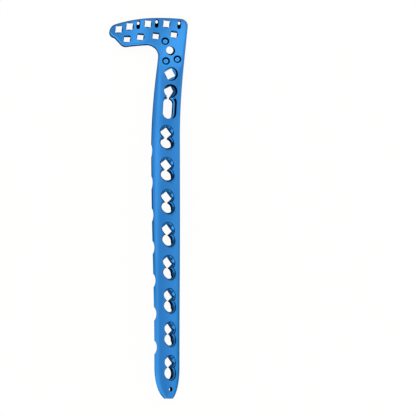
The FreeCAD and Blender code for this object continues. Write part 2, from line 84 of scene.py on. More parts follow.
# Head: its round corners as centre from the neck's end and radius, its edges and its bend
HEAD = {
    "corner": (2.3, 16.2, 2.8),
    "tab": (-21.95, 12.05, 2.75),
    "lobe": (-18.0, 8.3, 2.6),
}
TOP_EDGE = 95.0
NOTCH = 0.7
TAB_SLOPE = 47.0
ARM_SLOPE = 9.5
INNER_RADIUS = 4.3
BEND_X = -8.0
BEND_RADIUS = 34.0

# Holes that stand alone, from the tip, and those of the head, from the neck's end
LONG_HOLE = (0.85, 117.9)
SINGLE_HOLE = (0.5, 129.3)
TIP_WIRE_HOLE = (0, 4.25)
UPPER_ROW = ((-21.3, 12.35), (-17.3, 13.55), (-10.4, 15.15), (-3.25, 16.0))
LOWER_ROW = ((-17.8, 8.5), (-12.8, 9.65), (-6.9, 10.7), (0.05, 12.2))
WIRE_SLOTS = ((-14.1, 14.4), (-7.05, 15.7), (1.7, 16.3))
GUIDE_HOLE = (-0.75, 5.4)
SEATS = ((-3.05, 9.0), (-2.0, 1.0), (2.35, 2.3))
# Radius, depth and painted shading of the rings of a blind seat, and depth and painted shading
# of its middle: painted shade on the wall, a painted highlight on the floor
SEAT_PROFILE = (
    (1.58, 0.0, 1), (1.53, 0.03, 0.8), (1.5, 0.1, 0.12), (1.4, 0.7, 0.03),
    (1.02, 0.85, 0.03), (0.98, 0.6, 0.4), (0.94, 0.46, 1), (0.86, 0.42, 1.2),
    (0.5, 0.4, 1.3), (0.3, 0.45, 1.3), (0.16, 0.58, 0.9), (0.06, 0.62, 0.8),
)
SEAT_MIDDLE = (0.63, 0.6)

# Mesh: the step between its points, rows round the tip, facets of a blind seat, and steps
# along each ray that finds a hole's wall
ROW_STEP = 0.55
TIP_STEPS = 30
SEAT_FACETS = 64
RAY_STEPS = 900
# Depths of the first rings of a hole's wall, and of the ring after them
RIM_DEPTHS = (0.0, 0.02, 0.05, 0.1)
NEXT_DEPTH = 0.16
# Rows of points along the shoulders, as parts of their width
SHOULDER_ROWS = (0.012, 0.04, 0.09, 0.17, 0.28, 0.43, 0.65, 1.0)
# Clearances: rows from an undercut's end, shoulder rows from a hole, the grid from the
# shoulders, and the grid from holes and from the bone side's edge
UNDERCUT_GAP = 0.2
SHOULDER_ROW_GAP = 0.22
SHOULDER_GAP = 0.25
GRID_GAP = 0.3
# Reach of the grid over the head, and to each side over the shaft
GRID_LEFT, GRID_RIGHT, GRID_TOP = -24.75, 5.4, 19.5
SHAFT_REACH = 5.6
# Edges that turn by more degrees than this stay sharp
SHARP_ANGLE = 38.0

# How the plate lies: turned about X, then Y, then moved
REST_TURN_X = 11.0919
REST_TURN_Y = 2.5092
REST_MOVE = (8.5662, -75.892, 4.4399)


def turn_x(angle):
    return np.array(Matrix.Rotation(math.radians(angle), 3, "X"))


def turn_y(angle):
    return np.array(Matrix.Rotation(math.radians(angle), 3, "Y"))


REST = turn_y(REST_TURN_Y) @ turn_x(REST_TURN_X)


def share(s, start, end):
    return np.clip((s - start) / (end - start), 0.0, 1.0)


def neck_share(s):
    return share(s, NECK_START, NECK) ** 2


def end_share(s):
    return np.sqrt(np.clip(1 - (1 - np.clip(s, 0, TIP_LENGTH) / TIP_LENGTH) ** 2, 0, 1))


def half_width(s):
    neck = share(s, NECK_START, NECK)
    return (SHAFT_WIDTH + (NECK_WIDTH - SHAFT_WIDTH) * neck) / 2 * end_share(s)


def full_depth(s):
    return SHAFT_DEPTH + (HEAD_DEPTH - SHAFT_DEPTH) * neck_share(s)


def depth(s):
    return TIP_DEPTH + (full_depth(s) - TIP_DEPTH) * end_share(s)


def shoulder(s):
    """Width and drop of the rounding along the edge of the outer face."""
    neck, end = neck_share(s), end_share(s)
    wide = SHOULDER_WIDTH + (RIM_WIDTH - SHOULDER_WIDTH) * neck
    low = SHOULDER_DROP + (RIM_DROP - SHOULDER_DROP) * neck
    return TIP_SHOULDER + (wide - TIP_SHOULDER) * end, low * depth(s) / full_depth(s)


def outer_face(s, edge):
    """Height of the outer face at a distance from the edge of the outline."""
    wide, low = shoulder(s)
    inward = np.clip(1 - edge / wide, 0, 1)
    return -low * (CROWN * inward**2 + (1 - CROWN) * (1 - np.sqrt(1 - inward**2)))


def undercut_middles():
    return [FIRST_HOLE + (n + 0.5) * HOLE_PITCH + UNDERCUT_SHIFT for n in range(COMBI_HOLES - 1)]


def bone_face(s):
    """Height of the bone side, with the undercuts between the combination holes."""
    base = -depth(s)
    level = base
    for middle in undercut_middles():
        cut = np.sqrt(np.clip(UNDERCUT_RADIUS**2 - (s - middle) ** 2, 0, None))
        level = np.maximum(level, base + UNDERCUT_DEPTH - UNDERCUT_RADIUS + cut)
    return level


def undercut_edges():
    """Places along the shaft where the undercuts start and end."""
    reach = math.sqrt(UNDERCUT_RADIUS**2 - (UNDERCUT_RADIUS - UNDERCUT_DEPTH) ** 2)
    return [m + side * reach for m in undercut_middles() for side in (-1, 1)]


def place(x, s, z):
    """Points of the lying plate, in metres, from their places on the unrolled plate."""
    x, s, z = np.broadcast_arrays(*(np.asarray(part, float) for part in (x, s, z)))
    at = np.clip(s, 0, NECK)
    slope = np.minimum(at, BOW_END) / BOW_RADIUS
    rest = np.maximum(at - BOW_END, 0)
    low = (1 + np.cos(np.pi * share(at, TWIST_START, TWIST_END))) / 2
    q = share(at, NECK_START, NECK)
    twist = UPPER_TWIST + (LOWER_TWIST - UPPER_TWIST) * low + (NECK_TWIST - UPPER_TWIST) * q**2
    shift = UPPER_SHIFT + (LOWER_SHIFT - UPPER_SHIFT) * low + (NECK_SHIFT - UPPER_SHIFT) * q**2
    yaw = -np.arctan(2 * (NECK_SHIFT - UPPER_SHIFT) * q / (NECK - NECK_START))
    twist = np.radians(twist)
    beyond = s - at
    # The arm of the head bends down about an axis along the shaft
    left = np.clip(BEND_X - x, 0, None)
    bent = np.sqrt(np.clip((BEND_RADIUS + z) ** 2 - left**2, 0, None)) - BEND_RADIUS
    z = np.where((left > 0) & (s > NECK), bent, z)
    u = x * np.cos(yaw) - beyond * np.sin(yaw)
    v = x * np.sin(yaw) + beyond * np.cos(yaw)
    a = u * np.cos(twist) + z * np.sin(twist)
    c = -u * np.sin(twist) + z * np.cos(twist)
    along = BOW_RADIUS * np.sin(slope) + rest * np.cos(slope)
    height = BOW_RADIUS * (np.cos(slope) - 1) - rest * np.sin(slope)
    flat = np.stack(
        (
            shift + a,
            along + v * np.cos(slope) + c * np.sin(slope),
            height - v * np.sin(slope) + c * np.cos(slope),
        ),
        axis=-1,
    )
    return (flat @ REST.T + np.array(REST_MOVE)) * MM


# The outline of the unrolled plate runs anticlockwise, seen from outside
def arc(cx, cy, radius, start, end, step=0.35):
    count = max(3, int(abs(math.radians(end - start)) * radius / step))
    angles = np.radians(np.linspace(start, end, count + 1))
    return [(cx + radius * math.cos(a), cy + radius * math.sin(a)) for a in angles]


def walk(start, end):
    """Even points on a straight edge, without its start."""
    count = max(1, round(math.dist(start, end) / ROW_STEP))
    ts = np.arange(1, count + 1) / count
    return [(start[0] + (end[0] - start[0]) * t, start[1] + (end[1] - start[1]) * t) for t in ts]


def head_edge():
    """Outline of the head from the neck's right side round to its left side."""
    cx, cy, cr = HEAD["corner"]
    tx, ty, tr = HEAD["tab"]
    lx, ly, lr = HEAD["lobe"]
    # Centre of the top edge: inside tangent to the corner and the tab
    d1, d2 = TOP_EDGE - cr, TOP_EDGE - tr
    gap = math.hypot(tx - cx, ty - cy)
    along = (d1**2 - d2**2 + gap**2) / (2 * gap)
    off = math.sqrt(d1**2 - along**2)
    ux, uy = (tx - cx) / gap, (ty - cy) / gap
    ox, oy = cx + ux * along - uy * off, cy + uy * along + ux * off
    if oy > cy:
        ox, oy = cx + ux * along + uy * off, cy + uy * along - ux * off
    start = math.degrees(math.atan2(cy - oy, cx - ox))
    end = math.degrees(math.atan2(ty - oy, tx - ox))
    points = arc(cx, cy, cr, 0, start)
    points += arc(ox, oy, TOP_EDGE, start, end, step=0.6)[1:]
    # The straight edge between the tab and the lobe, and the small notch at its top
    slope = math.radians(180 - TAB_SLOPE)
    normal = slope + math.pi / 2
    px, py = lx + lr * math.cos(normal), ly + lr * math.sin(normal)
    dx, dy = math.cos(slope), math.sin(slope)
    nx, ny = math.cos(normal), math.sin(normal)
    # Notch centre: NOTCH beyond the edge, NOTCH + tr from the tab's centre
    bx, by = px + nx * NOTCH - tx, py + ny * NOTCH - ty
    half = bx * dx + by * dy
    far = math.sqrt(max(half**2 - (bx**2 + by**2 - (NOTCH + tr) ** 2), 0))
    run = min(-half + far, -half - far, key=abs)
    mx, my = px + nx * NOTCH + dx * run, py + ny * NOTCH + dy * run
    to_notch = math.degrees(math.atan2(my - ty, mx - tx)) % 360
    points += arc(tx, ty, tr, end, to_notch)[1:]
    back = to_notch - 180
    along_edge = math.degrees(normal) - 180
    points += arc(mx, my, NOTCH, back, along_edge, step=0.15)[1:]
    points += walk(points[-1], (px, py))
    low = -90 + ARM_SLOPE
    points += arc(lx, ly, lr, math.degrees(normal), 360 + low)[1:]
    # The arm's lower edge runs into the inner corner
    left = -NECK_WIDTH / 2
    ix = left - INNER_RADIUS
    ax, ay = lx + lr * math.cos(math.radians(low)), ly + lr * math.sin(math.radians(low))
    arm = math.radians(ARM_SLOPE)
    along_arm = math.cos(arm), math.sin(arm)
    up = math.radians(90 + ARM_SLOPE)
    reach = (ix + INNER_RADIUS * math.cos(up) - ax) / along_arm[0]
    iy = ay + along_arm[1] * reach - INNER_RADIUS * math.sin(up)
    corner = (ix + INNER_RADIUS * math.cos(up), iy + INNER_RADIUS * math.sin(up))
    points += walk((ax, ay), corner)
    points += arc(ix, iy, INNER_RADIUS, 90 + ARM_SLOPE, 0)[1:]
    points += walk((left, iy), (left, 0.0))[:-1]
    return [(x, y + NECK) for x, y in points]


def path_rows():
    """Places along the shaft where the mesh has a row of points."""
    count = int((NECK - TIP_LENGTH) / ROW_STEP)
    rows = [TIP_LENGTH + n * ROW_STEP for n in range(count)]
    for edge in undercut_edges():
        rows = [s for s in rows if abs(s - edge) > UNDERCUT_GAP]
        rows.append(edge)
    return np.array(sorted(rows))


def outline():
    """The whole outline, starting at the blunt end of the tip."""
    first = math.asin(TIP_BLUNT / TIP_LENGTH - 1)
    turn = np.linspace(first, 0, TIP_STEPS)[:-1]
    tip = [(SHAFT_WIDTH / 2 * math.cos(a), TIP_LENGTH * (1 + math.sin(a))) for a in turn]
    end = walk((-tip[0][0], TIP_BLUNT), (tip[0][0], TIP_BLUNT))[:-1]
    rows = path_rows()
    right = list(zip(half_width(rows), rows)) + [(NECK_WIDTH / 2, NECK)]
    sides = tip + right + walk(right[-1], (NECK_WIDTH / 2, NECK + HEAD["corner"][1]))
    head = head_edge()
    left = [(-x, s) for x, s in reversed(tip + right)]
    return np.array(end + sides + head[1:] + left)


def inward(loop):
    """Directions into a loop at each of its points."""
    ahead, behind = np.roll(loop, -1, axis=0), np.roll(loop, 1, axis=0)
    along = ahead - behind
    along /= np.linalg.norm(along, axis=1)[:, None]
    return np.stack((-along[:, 1], along[:, 0]), axis=1)


def edge_distance(points, loop):
    """Distance of each point from the outline."""
    start, end = loop, np.roll(loop, -1, axis=0)
    side = end - start
    length = (side**2).sum(axis=1)
    best = np.empty(len(points))
    block = 2000
    for first in range(0, len(points), block):
        p = points[first : first + block, None, :] - start[None]
        t = np.clip((p * side).sum(axis=2) / length, 0, 1)
        gap = np.linalg.norm(p - t[..., None] * side, axis=2)
        best[first : first + block] = gap.min(axis=1)
    return best


def inside(points, loop):
    """Whether each point is inside a loop."""
    start, end = loop, np.roll(loop, -1, axis=0)
    odd = np.zeros(len(points), bool)
    for a, b in zip(start, end):
        crosses = (a[1] > points[:, 1]) != (b[1] > points[:, 1])
        if crosses.any():
            x = a[0] + (points[:, 1] - a[1]) * (b[0] - a[0]) / (b[1] - a[1] + 1e-12)
            odd ^= crosses & (points[:, 0] < x)
    return odd


# Each hole has a shape, which is negative in the opening, at a depth d under the face
def ramp(d, *stops):
    """Straight runs between (depth, value) stops."""
    return np.interp(d, [p[0] for p in stops], [p[1] for p in stops])


def circle(x, y, radius):
    return np.hypot(x, y) - radius


def square(x, y, half, corner, hollow=0.0):
    """A square with rounded corners, whose sides bulge into the opening."""
    u, v = np.abs(x), np.abs(y)
    hx = half - hollow * np.clip(1 - (v / half) ** 2, 0, 1)
    hy = half - hollow * np.clip(1 - (u / half) ** 2, 0, 1)
    qx, qy = u - hx + corner, v - hy + corner
    outside = np.hypot(np.clip(qx, 0, None), np.clip(qy, 0, None))
    return outside + np.minimum(np.maximum(qx, qy), 0) - corner


def thread(x, y, d, start, pitch, amount):
    """Outward reach of the thread's grooves, which climb round the hole."""
    wave = 0.5 + 0.5 * np.cos(2 * np.pi * d / pitch - np.arctan2(y, x))
    return amount * wave * np.clip((d - start) / 0.3, 0, 1)


# Radius of the seats, and of a wall's parts, at each depth
SLOPED_SEAT = ((0, 2.85), (0.1, 2.75), (0.5, 2.68), (0.8, 2.25), (1.3, 2.15), (1.4, 0.0))
STEPPED_SEAT = ((0, 2.68), (0.08, 2.6), (1.6, 2.5), (1.75, 2.3), (1.85, 1.7), (1.9, 0.0))
ROUND_PART = ((0, 2.95), (0.12, 2.85), (0.55, 2.78), (0.85, 2.3), (1.3, 2.2), (2.0, 2.2))
SLOT_POCKET = ((0, 2.78), (0.1, 2.7), (1.6, 2.6), (1.8, 2.0), (1.9, 0.0))
HEAD_SEAT = ((0, 1.58), (0.08, 1.5), (0.3, 1.42), (0.5, 0.0))
WIRE_SLOT_WALL = ((0, 0.72), (0.1, 0.64), (0.9, 0.6), (1.2, 0.52))
GUIDE_RIM = ((0, 1.78), (0.08, 1.7), (0.8, 1.68), (0.9, 0.0))
TIP_HOLE_WALL = ((0, 0.95), (0.12, 0.8), (1.5, 0.8), (3.0, 1.0))

# Start, pitch and amount of the thread in the shaft's and in the head's locking holes
SHAFT_THREAD = (0.9, 0.62, 0.13)
HEAD_THREAD = (0.7, 0.5, 0.05)

# Places of the parts of a hole along the plate, from its middle
COMBI_LOCK, COMBI_ROUND = 2.3, -1.95
LONG_LOCK, LONG_SLOT, LONG_JOIN = 4.6, -2.1, 2.0
# Half length of the slot's straight part, radii of the slot and of its join, half width of
# the head's locking holes, and radius of the guide hole
SLOT_HALF, SLOT_RADIUS, JOIN_RADIUS = 2.15, 1.95, 0.5
HEAD_HALF = 1.27
GUIDE_RADIUS = 1.45


def turned(x, y, angle):
    """Points seen along axes that are turned anticlockwise by an angle."""
    c, s = math.cos(math.radians(angle)), math.sin(math.radians(angle))
    return x * c + y * s, y * c - x * s


def lock_shape(x, y, d, seat=SLOPED_SEAT, angle=5.0, half=1.8, opening=0.2):
    """Four threaded sides under a round seat, the corners between them along the plate."""
    u, v = turned(x, y, 45.0 - angle)
    flare = ramp(d, (1.8, 0), (3.5, opening))
    sides = square(u, v, half + flare + thread(x, y, d, *SHAFT_THREAD), 0.25, 0.06)
    return np.minimum(circle(x, y, ramp(d, *seat)), sides)


def single_shape(x, y, d):
    return lock_shape(x, y, d, STEPPED_SEAT, angle=12.0, half=1.62)


def combi_shape(number):
    """Shape of one combination hole; the bone side opens wider towards the tip."""
    opening = 1 - number / (COMBI_HOLES - 1)
    profile = *ROUND_PART, (3.5, 2.27 + 0.5 * opening)

    def shape(x, y, d):
        lock = lock_shape(x, y - COMBI_LOCK, d, half=1.83, opening=0.15 + 0.35 * opening)
        return np.minimum(lock, circle(x, y - COMBI_ROUND, ramp(d, *profile)))

    return shape


def long_shape(x, y, d):
    """A locking part, joined to a slot in a deep pocket."""
    over = np.clip(np.abs(y - LONG_SLOT) - SLOT_HALF, 0, None)
    slot = np.hypot(x, over) - np.maximum(ramp(d, *SLOT_POCKET), SLOT_RADIUS)
    past = np.clip(np.abs(y - LONG_JOIN) - JOIN_RADIUS, 0, None)
    join = np.hypot(x, past) - JOIN_RADIUS
    lock = lock_shape(x, y - LONG_LOCK, d, STEPPED_SEAT, angle=14.0)
    return np.minimum(np.minimum(lock, slot), join)


def head_shape(x, y, d):
    """A square locking hole with a thin round seat."""
    seat = circle(x, y, ramp(d, *HEAD_SEAT))
    sides = square(x, y, HEAD_HALF + thread(x, y, d, *HEAD_THREAD), 0.1, 0.08)
    return np.minimum(seat, sides)


def wire_slot_shape(x, y, d):
    """A slot that narrows to a round hole for a wire on the bone side."""
    over = np.clip(np.abs(y) - ramp(d, (0, 0.82), (2.2, 0.02)), 0, None)
    return np.hypot(x, over) - ramp(d, *WIRE_SLOT_WALL)


def guide_shape(x, y, d):
    """A round hole, set to one side of its round rim."""
    rim = circle(x - 0.1, y + 0.08, ramp(d, *GUIDE_RIM))
    return np.minimum(rim, circle(x + 0.17, y - 0.12, GUIDE_RADIUS))


def tip_shape(x, y, d):
    return circle(x, y, ramp(d, *TIP_HOLE_WALL))


# Painted shade: how much of the open face's brightness each depth of a hole keeps, painted into
# the colour
OVAL_PAINTED_SHADE = (
    (0, 1), (0.06, 0.5), (0.12, 0.12), (0.5, 0.2), (0.58, 0.8), (0.8, 0.9), (0.95, 0.1),
    (3.5, 0.03),
)
LOCK_PAINTED_SHADE = ((0, 1), (0.06, 0.6), (0.12, 0.25), (0.5, 0.6), (0.8, 0.9), (1.4, 0.45), (3.5, 0.3))
STEPPED_PAINTED_SHADE = (
    (0, 1), (0.05, 0.3), (0.1, 0.03), (1.6, 0.03), (1.7, 1), (1.95, 1), (2.05, 0.2), (3.5, 0.05),
)
DEEP_PAINTED_SHADE = ((0, 1), (0.05, 0.3), (0.1, 0.03), (1.5, 0.05), (1.8, 0.3), (2.2, 0.15), (3.5, 0.05))
PLAIN_PAINTED_SHADE = ((0, 1), (0.06, 0.4), (0.15, 0.03), (3.5, 0.02))
HEAD_PAINTED_SHADE = ((0, 1), (0.4, 0.9), (0.6, 0.25), (1.0, 0.08), (2.2, 0.05))
# The same for painted shade along one side of the rim, painted glints where the ends of the
# thread catch the light, also at the long hole's cusp, and painted shade in the gaps between
# them
RIM_PAINTED_SHADE = ((0, 0.6), (0.1, 0.05), (0.9, 0.05), (1.0, 0.7), (1.6, 0.3), (3.5, 0.03))
PAINTED_GLINT_AND_SHADE = ((0, 1), (0.5, 0.6), (0.75, 1.9), (1.4, 1.9), (1.5, 0.3), (3.5, 0.05))
CUSP_PAINTED_GLINT_AND_SHADE = ((0, 1), (0.3, 0.5), (0.6, 1.9), (1.9, 1.9), (2.0, 0.3), (3.5, 0.05))
GAP_PAINTED_SHADE = ((0, 1), (0.3, 0.1), (1.4, 0.05), (3.5, 0.03))
# Painted shade of the low half of the side wall, and degrees over which a painted accent fades
# out
WALL_PAINTED_SHADE = 0.9
ACCENT_FADE = 4.0


def hole(
    shape, spot, angles, levels, lean=0.0, side=0.0, reach=8.0, hub=0.0, tones=(PLAIN_PAINTED_SHADE,),
    painted_accents=(),
):
    """A hole and how its wall is made.

    spot is its middle, angles and levels its facets round and down, lean and side how far it
    leans to the head, in degrees, and to the left, per millimetre of depth. The facets fan out
    from hub, along the plate, to reach. The painted shade of each part comes in turn, that of
    the tip's side first, and the accents add painted shade and painted glints at some angles.
    """
    return {
        "shape": shape, "spot": spot, "angles": angles, "levels": levels, "lean": lean,
        "side": side, "reach": reach, "hub": hub, "tones": tones, "painted_accents": painted_accents,
    }


def combi_painted_accents(number):
    """Painted accents of a combination hole: angle, half width, painted shade ramp and amount.
    They are painted shade along one side of the rim, a painted glint and painted shade in three
    gaps of the thread.
    """
    part = number / (COMBI_HOLES - 1)
    return (
        (-62.0, 36.0, RIM_PAINTED_SHADE, 0.2 + 0.8 * part),
        (54.0, 9.0, PAINTED_GLINT_AND_SHADE, 0.5 + 0.5 * part),
        (68.0, 5.0, GAP_PAINTED_SHADE, 0.7),
        (37.0, 5.0, GAP_PAINTED_SHADE, 0.7),
        (16.0, 6.0, GAP_PAINTED_SHADE, 0.8),
    )


def all_holes():
    """Combination holes from the tip up, the three others of the shaft, and the head's."""
    holes = [
        hole(
            combi_shape(n), (0, FIRST_HOLE + n * HOLE_PITCH), 144, 30, hub=-0.1,
            tones=(OVAL_PAINTED_SHADE, LOCK_PAINTED_SHADE), painted_accents=combi_painted_accents(n),
        )
        for n in range(COMBI_HOLES)
    ]
    holes.append(
        hole(
            long_shape, LONG_HOLE, 160, 30, side=0.19, reach=10.0, hub=2.0,
            tones=(STEPPED_PAINTED_SHADE, DEEP_PAINTED_SHADE), painted_accents=((2.0, 9.0, CUSP_PAINTED_GLINT_AND_SHADE, 1.0),),
        )
    )
    holes.append(
        hole(single_shape, SINGLE_HOLE, 104, 26, lean=15.0, side=0.2, tones=(STEPPED_PAINTED_SHADE,))
    )
    holes.append(hole(tip_shape, TIP_WIRE_HOLE, 40, 8, side=-0.3))
    for row, lean in ((UPPER_ROW, 18.0), (LOWER_ROW, 3.0)):
        for x, y in row:
            holes.append(hole(head_shape, (x, NECK + y), 88, 20, lean, tones=(HEAD_PAINTED_SHADE,)))
    for x, y in WIRE_SLOTS:
        holes.append(hole(wire_slot_shape, (x, NECK + y), 48, 9, lean=32.0))
    x, y = GUIDE_HOLE
    holes.append(hole(guide_shape, (x, NECK + y), 72, 10, lean=17.0))
    return holes


def rings(h, depths):
    """Loops of a hole's wall on the unrolled plate, one at each depth."""
    x0, s0 = h["spot"]
    lean = math.radians(h["lean"])
    angles = np.linspace(0, 2 * np.pi, h["angles"], endpoint=False)
    cos, sin = np.cos(angles), np.sin(angles)
    ray = np.linspace(0, h["reach"], RAY_STEPS)
    x, y = ray * cos[:, None], ray * sin[:, None] + h["hub"]
    rows = np.arange(len(angles))
    loops = []
    for d in depths:
        # Where each ray from the hub crosses the wall
        value = h["shape"](x, y * math.cos(lean), d)
        first = np.argmax(value >= 0, axis=1)
        v1, v0 = value[rows, first], value[rows, first - 1]
        r = ray[first - 1] + (ray[1] - ray[0]) * v0 / (v0 - v1)
        across = x0 - d * h["side"] + r * cos
        loops.append(np.stack((across, s0 + h["hub"] + d * math.tan(lean) + r * sin), axis=1))
    return loops


def wall_painted_shading(h, loop, d):
    """Painted shading of a loop of a hole's wall: painted shade by depth, with painted glints
    and shade at the accents.
    """
    low, high = (float(ramp(d, *h["tones"][end])) for end in (0, -1))
    tone = np.where(loop[:, 1] < h["spot"][1] + h["hub"], low, high)
    turn = (np.linspace(0, 360, h["angles"], endpoint=False) + 180) % 360 - 180
    for middle, half, tones, amount in h["painted_accents"]:
        weight = amount * np.clip((half - abs(turn - middle)) / ACCENT_FADE, 0, 1)
        tone = tone + (float(ramp(d, *tones)) - tone) * weight
    return tone


class Builder:
    """Collects points and faces of the unrolled plate."""

    def __init__(self):
        self.points, self.tones, self.faces = [], [], []
        self.count = 0

    def add(self, x, s, z, tone=1.0):
        block = np.stack(np.broadcast_arrays(x, s, z), axis=-1).reshape(-1, 3)
        self.points.append(block)
        self.tones.append(np.full(len(block), tone))
        start = self.count
        self.count += len(block)
        return np.arange(start, self.count)

    def bridge(self, upper, lower):
        """Quads between two closed loops of equal length."""
        after_u, after_l = np.roll(upper, -1), np.roll(lower, -1)
        self.faces += np.stack((upper, lower, after_l, after_u), axis=1).tolist()

    def sheet(self, loops, loose, height, flip):
        """A face of the plate: triangles between closed loops, with loose points between."""
        (_, rim), *holes = loops
        points = [p for ids, loop in loops for p in loop] + list(loose)
        known = np.concatenate([ids for ids, _ in loops])
        loose = np.array(loose)
        fresh = self.add(loose[:, 0], loose[:, 1], height(loose))
        known = np.concatenate((known, fresh))
        edges, start = [], 0
        for ids, loop in loops:
            n = len(loop)
            edges += [(start + i, start + (i + 1) % n) for i in range(n)]
            start += n
        flat = [Vector((p[0], p[1])) for p in points]
        made = delaunay_2d_cdt(flat, edges, [], 0, 1e-6)
        verts, tris, origin = made[0], made[2], made[3]
        lost = [tuple(verts[i]) for i, o in enumerate(origin) if len(o) == 0]
        if lost:
            raise RuntimeError(f"a hole crosses another or the outline at {lost[:6]}")
        spots = np.array([(v.x, v.y) for v in verts])
        tris = np.array(tris)
        middle = spots[tris].mean(axis=1)
        keep = inside(middle, rim)
        for _, loop in holes:
            low, high = loop.min(axis=0), loop.max(axis=0)
            near = ((middle > low) & (middle < high)).all(axis=1)
            picked = np.where(near)[0]
            keep[picked[inside(middle[picked], loop)]] = False
        ids = np.array([known[o[0]] for o in origin])
        tris = ids[tris[keep]]
        if flip:
            tris = tris[:, ::-1]
        self.faces += tris.tolist()


def clear_of(points, loops, gap):
    """Points that are outside every loop and not nearer than a gap to one."""
    keep = np.ones(len(points), bool)
    for loop in loops:
        low, high = loop.min(axis=0) - gap, loop.max(axis=0) + gap
        near = np.where(((points > low) & (points < high)).all(axis=1))[0]
        if len(near):
            close = edge_distance(points[near], loop) < gap
            keep[near[close | inside(points[near], loop)]] = False
    return points[keep]


def grid():
    """Loose points over the plate."""
    turn = np.radians(np.linspace(-90, 0, TIP_STEPS)[3:-1])
    head = NECK + np.arange(0, GRID_TOP, ROW_STEP)
    rows = np.concatenate((TIP_LENGTH * (1 + np.sin(turn)), path_rows(), head))
    across = np.arange(GRID_LEFT, GRID_RIGHT, ROW_STEP)
    return np.array([(x, s) for s in rows for x in across if s > NECK or abs(x) < SHAFT_REACH])


def side_wall(b, edge):
    """Rings of the side, from the end of the shoulder down: first ids, last ids, last loop."""
    top = -shoulder(edge[:, 1])[1]
    floor = bone_face(edge[:, 1])
    rounding = LOW_ROUNDING + (HEAD_ROUNDING - LOW_ROUNDING) * neck_share(edge[:, 1])
    normals = inward(edge)
    wall = [b.add(edge[:, 0], edge[:, 1], top)]
    # The low half of the side wall and its rounding are a little darker: painted shade
    for t, tone in ((0.5, 1.0), (1.0, WALL_PAINTED_SHADE)):
        wall.append(b.add(edge[:, 0], edge[:, 1], top + (floor + rounding - top) * t, tone))
    for angle in np.radians((30, 60, 90)):
        loop = edge + normals * (rounding * (1 - math.cos(angle)))[:, None]
        z = floor + rounding * (1 - math.sin(angle))
        wall.append(b.add(loop[:, 0], loop[:, 1], z, WALL_PAINTED_SHADE))
    for upper, lower in zip(wall, wall[1:]):
        b.bridge(lower, upper)
    return wall[0], wall[-1], loop


def hole_wall(b, h, face_height):
    """A hole's wall: ids and loop at the outer face, and at the bone side."""
    here = float(depth(np.array([h["spot"][1]]))[0])
    parts = [d / here for d in RIM_DEPTHS]
    parts += list(np.linspace(NEXT_DEPTH / here, 1.0, h["levels"] - len(RIM_DEPTHS)))
    loops = rings(h, [part * here for part in parts])
    top = face_height(loops[0])
    ids = []
    for part, loop in zip(parts, loops):
        z = top + (bone_face(loop[:, 1]) - top) * part
        # Each ring carries its painted shade, and painted glints and shade at some angles
        ids.append(b.add(loop[:, 0], loop[:, 1], z, wall_painted_shading(h, loop, part * here)))
    for upper, lower in zip(ids, ids[1:]):
        b.bridge(upper, lower)
    return (ids[0], loops[0]), (ids[-1], loops[-1])


def blind_seat(b, x, y):
    """A round seat that ends in the metal: ids and loop at the outer face."""
    angles = np.linspace(0, 2 * np.pi, SEAT_FACETS, endpoint=False)
    cos, sin = np.cos(angles), np.sin(angles)
    # The seat's wall rings carry painted shade, and its floor a painted highlight
    ids = [b.add(x + r * cos, NECK + y + r * sin, -d, tone) for r, d, tone in SEAT_PROFILE]
    for upper, lower in zip(ids, ids[1:]):
        b.bridge(upper, lower)
    d, tone = SEAT_MIDDLE
    centre = int(b.add(x, NECK + y, -d, tone)[0])
    last = ids[-1].tolist()
    b.faces += [[last[i], centre, last[(i + 1) % SEAT_FACETS]] for i in range(SEAT_FACETS)]
    r = SEAT_PROFILE[0][0]
    return ids[0], np.stack((x + r * cos, NECK + y + r * sin), axis=1)


def spots_in(edge, holes, gap):
    """Grid points inside an edge, further from it than a gap, and clear of the holes."""
    spots = grid()
    spots = spots[inside(spots, edge)]
    spots = spots[edge_distance(spots, edge) > gap(spots)]
    return clear_of(spots, holes, GRID_GAP)


def build():
    """The whole plate as one mesh; its walls are wound inwards, its two faces outwards."""
    b = Builder()
    edge = outline()
    face_ids, bone_ids, bone_edge = side_wall(b, edge)

    def face_height(points):
        return outer_face(points[:, 1], edge_distance(points, edge))

    def bone_height(points):
        return bone_face(points[:, 1])

    walls = [hole_wall(b, h, face_height) for h in all_holes()]
    seats = [blind_seat(b, x, y) for x, y in SEATS]
    face_loops = [(face_ids, edge)] + [wall[0] for wall in walls] + seats
    bone_loops = [(bone_ids, bone_edge)] + [wall[1] for wall in walls]
    # Outer face, with rows of points along the shoulders
    holes = [loop for _, loop in face_loops[1:]]
    wide = shoulder(edge[:, 1])[0]
    normals = inward(edge)
    loose = [edge + normals * (wide * part)[:, None] for part in SHOULDER_ROWS]
    loose = [clear_of(row, holes, SHOULDER_ROW_GAP) for row in loose]
    loose.append(spots_in(edge, holes, lambda spots: shoulder(spots[:, 1])[0] + SHOULDER_GAP))
    b.sheet(face_loops, np.concatenate(loose), face_height, False)
    # Bone side
    holes = [loop for _, loop in bone_loops[1:]]
    b.sheet(bone_loops, spots_in(bone_edge, holes, lambda _: GRID_GAP), bone_height, True)

    flat = np.concatenate(b.points)
    mesh = bpy.data.meshes.new("plate_mesh")
    mesh.from_pydata(place(flat[:, 0], flat[:, 1], flat[:, 2]).tolist(), [], b.faces)
    # Each point's painted shade or painted highlight goes into a mesh attribute
    attribute = mesh.attributes.new("tone", "FLOAT", "POINT")
    attribute.data.foreach_set("value", np.concatenate(b.tones))
    mesh.validate()
    mesh.shade_smooth()
    mesh.set_sharp_from_angle(angle=math.radians(SHARP_ANGLE))
    plate = bpy.data.objects.new("bone_plate", mesh)
    bpy.context.scene.collection.objects.link(plate)
    return plate


# Blue of the oxide film where it is darkest and palest, and its tint seen edge on
FILM_DARK = (0.027, 0.200, 0.565, 1)
FILM_PALE = (0.032, 0.218, 0.62, 1)
FILM_EDGE = (0.12, 0.25, 0.45, 1)


